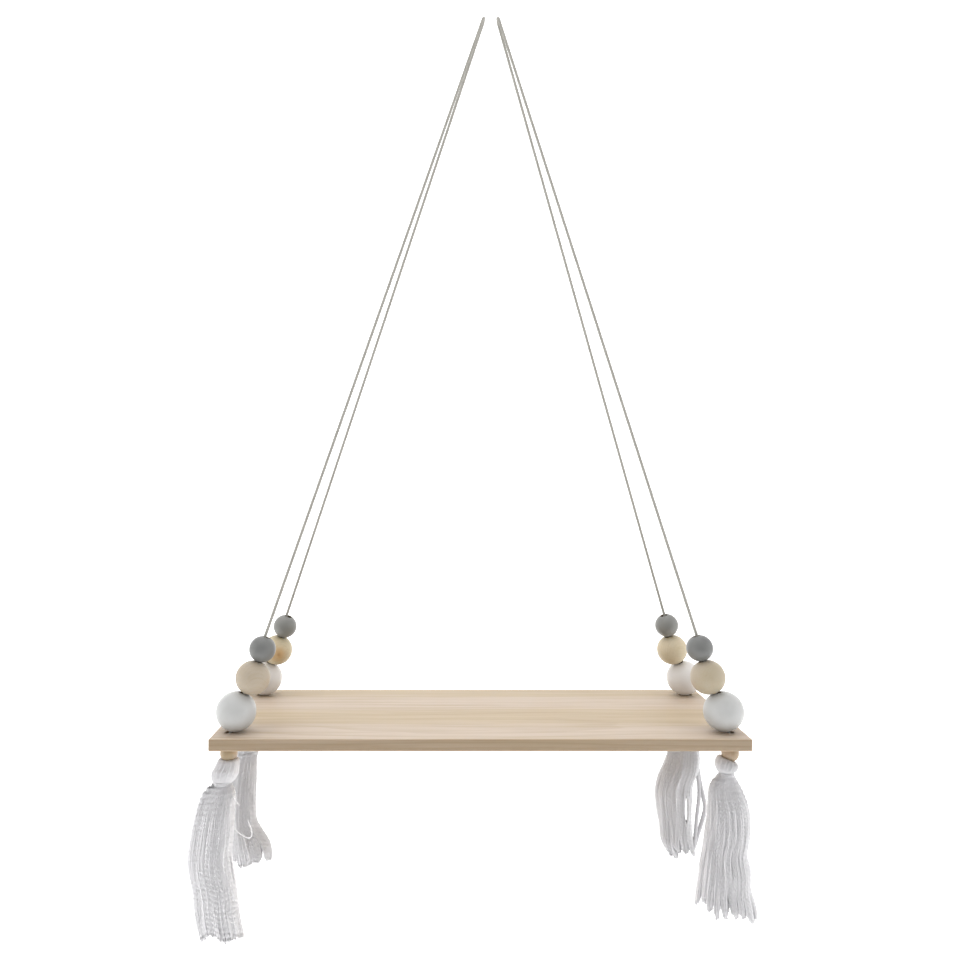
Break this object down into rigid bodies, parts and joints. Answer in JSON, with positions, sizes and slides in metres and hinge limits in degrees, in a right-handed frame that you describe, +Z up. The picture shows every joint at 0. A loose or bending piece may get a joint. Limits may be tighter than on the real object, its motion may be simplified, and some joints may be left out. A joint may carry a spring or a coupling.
{
  "type": "hanging rope shelf",
  "caption": "Wooden board shelf slung from doubled cords, with sliding wooden beads on the strands and yarn tassels under its corners.",
  "frame": {"origin": "on the axis of the hook that both cords hang over, midway between the two cords", "axes": "+Z up, +X along the board to the right, +Y from the front edge to the rear edge; the front faces -Y"},
  "size_m": [0.4291, 0.1508, 0.7282],
  "materials": {
    "pine_board": "bare planed pine, matt",
    "bare_bead": "bare turned wood, satin",
    "white_bead": "white painted wood, satin",
    "grey_bead": "grey painted wood, matt",
    "cord": "twisted cotton cord",
    "yarn": "soft white cotton yarn"
  },
  "bodies": {
    "cord_bends": {"left_cord_bend": "cord", "right_cord_bend": "cord"},
    "shelf": {"board": "pine_board", "front_left_cord": "cord", "front_left_under_bead": "bare_bead", "front_right_cord": "cord", "front_right_under_bead": "bare_bead", "rear_left_cord": "cord", "rear_left_under_bead": "bare_bead", "rear_right_cord": "cord", "rear_right_under_bead": "bare_bead"},
    "front_left_white": {"front_left_white_bead": "white_bead"},
    "front_left_natural": {"front_left_natural_bead": "bare_bead"},
    "front_left_grey": {"front_left_grey_bead": "grey_bead"},
    "front_left_tassel": {"front_left_tassel_head": "yarn", "front_left_tassel_binding": "yarn", "front_left_tassel_skirt": "yarn"},
    "front_right_white": {"front_right_white_bead": "white_bead"},
    "front_right_natural": {"front_right_natural_bead": "bare_bead"},
    "front_right_grey": {"front_right_grey_bead": "grey_bead"},
    "front_right_tassel": {"front_right_tassel_head": "yarn", "front_right_tassel_binding": "yarn", "front_right_tassel_skirt": "yarn"},
    "rear_left_white": {"rear_left_white_bead": "white_bead"},
    "rear_left_natural": {"rear_left_natural_bead": "bare_bead"},
    "rear_left_grey": {"rear_left_grey_bead": "grey_bead"},
    "rear_left_tassel": {"rear_left_tassel_head": "yarn", "rear_left_tassel_binding": "yarn", "rear_left_tassel_skirt": "yarn"},
    "rear_right_white": {"rear_right_white_bead": "white_bead"},
    "rear_right_natural": {"rear_right_natural_bead": "bare_bead"},
    "rear_right_grey": {"rear_right_grey_bead": "grey_bead"},
    "rear_right_tassel": {"rear_right_tassel_head": "yarn", "rear_right_tassel_binding": "yarn", "rear_right_tassel_skirt": "yarn"}
  },
  "joints": [
    {"name": "shelf_swing", "type": "hinge", "parent": "cord_bends", "child": "shelf", "pos_m": [0, 0, 0], "axis": [1, 0, 0], "range_deg": [-12, 12]},
    {"name": "front_left_white_lift", "type": "slide", "parent": "shelf", "child": "front_left_white", "axis": [0.3197, 0.0883, 0.9434], "range_m": [0, 0.14]},
    {"name": "front_left_natural_lift", "type": "slide", "parent": "front_left_white", "child": "front_left_natural", "axis": [0.3197, 0.0883, 0.9434], "range_m": [0, 0.14]},
    {"name": "front_left_grey_lift", "type": "slide", "parent": "front_left_natural", "child": "front_left_grey", "axis": [0.3197, 0.0883, 0.9434], "range_m": [0, 0.14]},
    {"name": "front_left_tassel_swing", "type": "hinge", "parent": "shelf", "child": "front_left_tassel", "pos_m": [-0.2005, -0.057, -0.5916], "axis": [0, 1, 0], "range_deg": [-25, 25]},
    {"name": "front_right_white_lift", "type": "slide", "parent": "shelf", "child": "front_right_white", "axis": [-0.2862, 0.0893, 0.954], "range_m": [0, 0.14]},
    {"name": "front_right_natural_lift", "type": "slide", "parent": "front_right_white", "child": "front_right_natural", "axis": [-0.2862, 0.0893, 0.954], "range_m": [0, 0.14]},
    {"name": "front_right_grey_lift", "type": "slide", "parent": "front_right_natural", "child": "front_right_grey", "axis": [-0.2862, 0.0893, 0.954], "range_m": [0, 0.14]},
    {"name": "front_right_tassel_swing", "type": "hinge", "parent": "shelf", "child": "front_right_tassel", "pos_m": [0.1785, -0.057, -0.5916], "axis": [0, 1, 0], "range_deg": [-25, 25]},
    {"name": "rear_left_white_lift", "type": "slide", "parent": "shelf", "child": "rear_left_white", "axis": [0.3248, -0.0881, 0.9417], "range_m": [0, 0.14]},
    {"name": "rear_left_natural_lift", "type": "slide", "parent": "rear_left_white", "child": "rear_left_natural", "axis": [0.3248, -0.0881, 0.9417], "range_m": [0, 0.14]},
    {"name": "rear_left_grey_lift", "type": "slide", "parent": "rear_left_natural", "child": "rear_left_grey", "axis": [0.3248, -0.0881, 0.9417], "range_m": [0, 0.14]},
    {"name": "rear_left_tassel_swing", "type": "hinge", "parent": "shelf", "child": "rear_left_tassel", "pos_m": [-0.2025, 0.057, -0.5916], "axis": [0, 1, 0], "range_deg": [-25, 25]},
    {"name": "rear_right_white_lift", "type": "slide", "parent": "shelf", "child": "rear_right_white", "axis": [-0.2862, -0.0893, 0.954], "range_m": [0, 0.14]},
    {"name": "rear_right_natural_lift", "type": "slide", "parent": "rear_right_white", "child": "rear_right_natural", "axis": [-0.2862, -0.0893, 0.954], "range_m": [0, 0.14]},
    {"name": "rear_right_grey_lift", "type": "slide", "parent": "rear_right_natural", "child": "rear_right_grey", "axis": [-0.2862, -0.0893, 0.954], "range_m": [0, 0.14]},
    {"name": "rear_right_tassel_swing", "type": "hinge", "parent": "shelf", "child": "rear_right_tassel", "pos_m": [0.1785, 0.057, -0.5916], "axis": [0, 1, 0], "range_deg": [-25, 25]}
  ]
}
